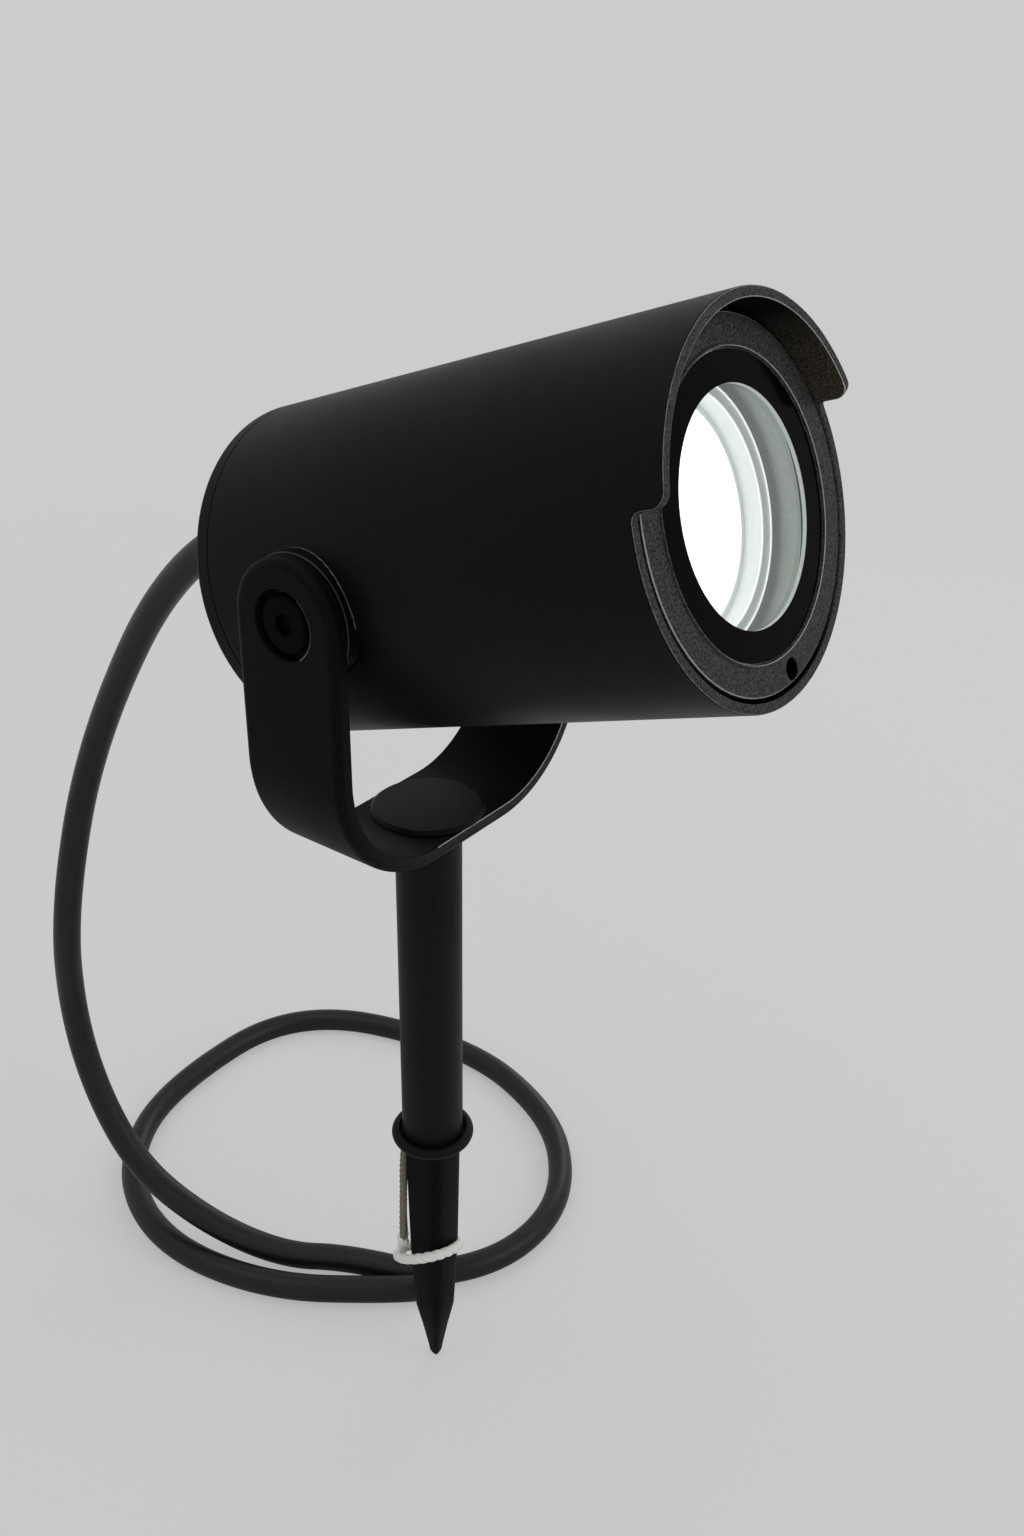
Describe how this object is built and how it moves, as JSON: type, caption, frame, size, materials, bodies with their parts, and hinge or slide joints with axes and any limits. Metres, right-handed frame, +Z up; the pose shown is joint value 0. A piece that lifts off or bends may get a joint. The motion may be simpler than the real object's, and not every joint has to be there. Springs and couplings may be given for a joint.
{
  "type": "garden spike spotlight",
  "caption": "Black garden spotlight with a cut-out shade and flat glass, on a pivoting yoke, post and ground spike, with its rubber lead.",
  "frame": {"origin": "centre of the collar's underside, which is the soil line when the spike is in the ground", "axes": "+Z up along the post and the spike; -Y the way the lamp shines; X along the two tilt pivots"},
  "size_m": [0.1492, 0.2266, 0.2938],
  "materials": {
    "head_paint": "satin",
    "bezel_paint": "fine_texture",
    "yoke_paint": "fine_texture",
    "cover_paint": "fine_texture",
    "post_paint": "fine_texture",
    "spike_paint": "fine_texture",
    "spacer_plastic": "gloss",
    "gland_plastic": "matte",
    "steel": "satin",
    "glass": "clear",
    "seal_rubber": "matte",
    "baffle_plastic": "matte",
    "diffuser_plastic": "matte",
    "board": "satin",
    "heat_sink_metal": "satin",
    "driver_plastic": "matte",
    "lead_rubber": "satin",
    "core_plastic": "gloss",
    "string_fabric": "woven"
  },
  "bodies": {
    "stake": {"swivel_bolt": "steel", "bolt_washer": "steel", "friction_washer": "spacer_plastic", "post_tube": "post_paint", "post_plug_upper": "steel", "post_plug_lower": "steel", "collar": "spike_paint", "spike": "spike_paint", "string_loop": "string_fabric", "string_knot": "string_fabric", "string_strands": "string_fabric", "lead_loop": "lead_rubber", "lead_cores": "core_plastic"},
    "bracket": {"yoke": "yoke_paint", "swivel_cover": "cover_paint", "lead_drop": "lead_rubber"},
    "head": {"housing_sleeve": "head_paint", "rear_cap": "head_paint", "rear_seal": "seal_rubber", "front_bezel": "bezel_paint", "bezel_screw": "steel", "lens_glass": "glass", "lens_gasket": "seal_rubber", "light_baffle": "baffle_plastic", "diffuser_disc": "diffuser_plastic", "led_board": "board", "heat_sink": "heat_sink_metal", "driver_case": "driver_plastic", "pivot_nuts": "steel", "pivot_spacers": "spacer_plastic", "pivot_screws": "steel", "cable_gland": "gland_plastic", "gland_locknut": "gland_plastic", "gland_nut": "gland_plastic", "gland_seal": "seal_rubber", "lead_upper": "lead_rubber"}
  },
  "joints": [
    {"name": "bracket_pan", "type": "hinge", "parent": "stake", "child": "bracket", "pos_m": [0, 0, 0.0933], "axis": [0, 0, 1], "range_deg": [-60, 60], "deforming": ["lead_drop"]},
    {"name": "head_tilt", "type": "hinge", "parent": "bracket", "child": "head", "pos_m": [0, 0, 0.1511], "axis": [-1, 0, 0], "range_deg": [-55, 45], "deforming": ["lead_upper"]}
  ]
}
